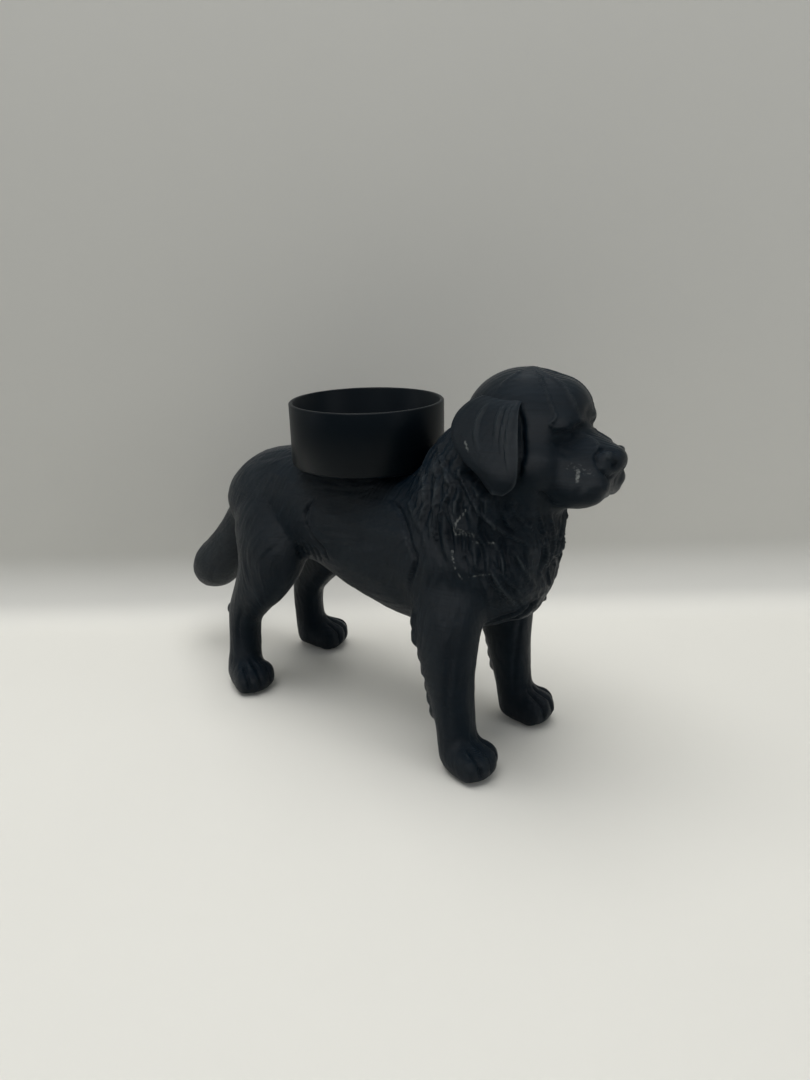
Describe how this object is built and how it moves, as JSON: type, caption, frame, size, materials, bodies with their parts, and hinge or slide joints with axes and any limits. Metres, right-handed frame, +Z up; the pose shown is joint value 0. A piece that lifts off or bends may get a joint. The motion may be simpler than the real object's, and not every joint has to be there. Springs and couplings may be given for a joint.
{
  "type": "golf ball holder figurine",
  "caption": "Standing retriever dog figurine in black printed plastic, with a round open cup on its back that holds a golf ball.",
  "frame": {"origin": "on the ground, under the middle of the bounding box", "axes": "+X towards the dog's nose, +Y towards the dog's left, +Z up"},
  "size_m": [0.1688, 0.0548, 0.1141],
  "materials": {
    "black_print": "layered print, satin",
    "black_print_smooth": "layered print, smooth upright wall"
  },
  "bodies": {
    "root": {"torso": "black_print", "neck_mane": "black_print", "head": "black_print", "ear_left": "black_print", "ear_right": "black_print", "front_leg_left": "black_print", "front_leg_right": "black_print", "hind_leg_left": "black_print", "hind_leg_right": "black_print", "tail": "black_print", "ball_cup": "black_print_smooth"}
  },
  "joints": []
}
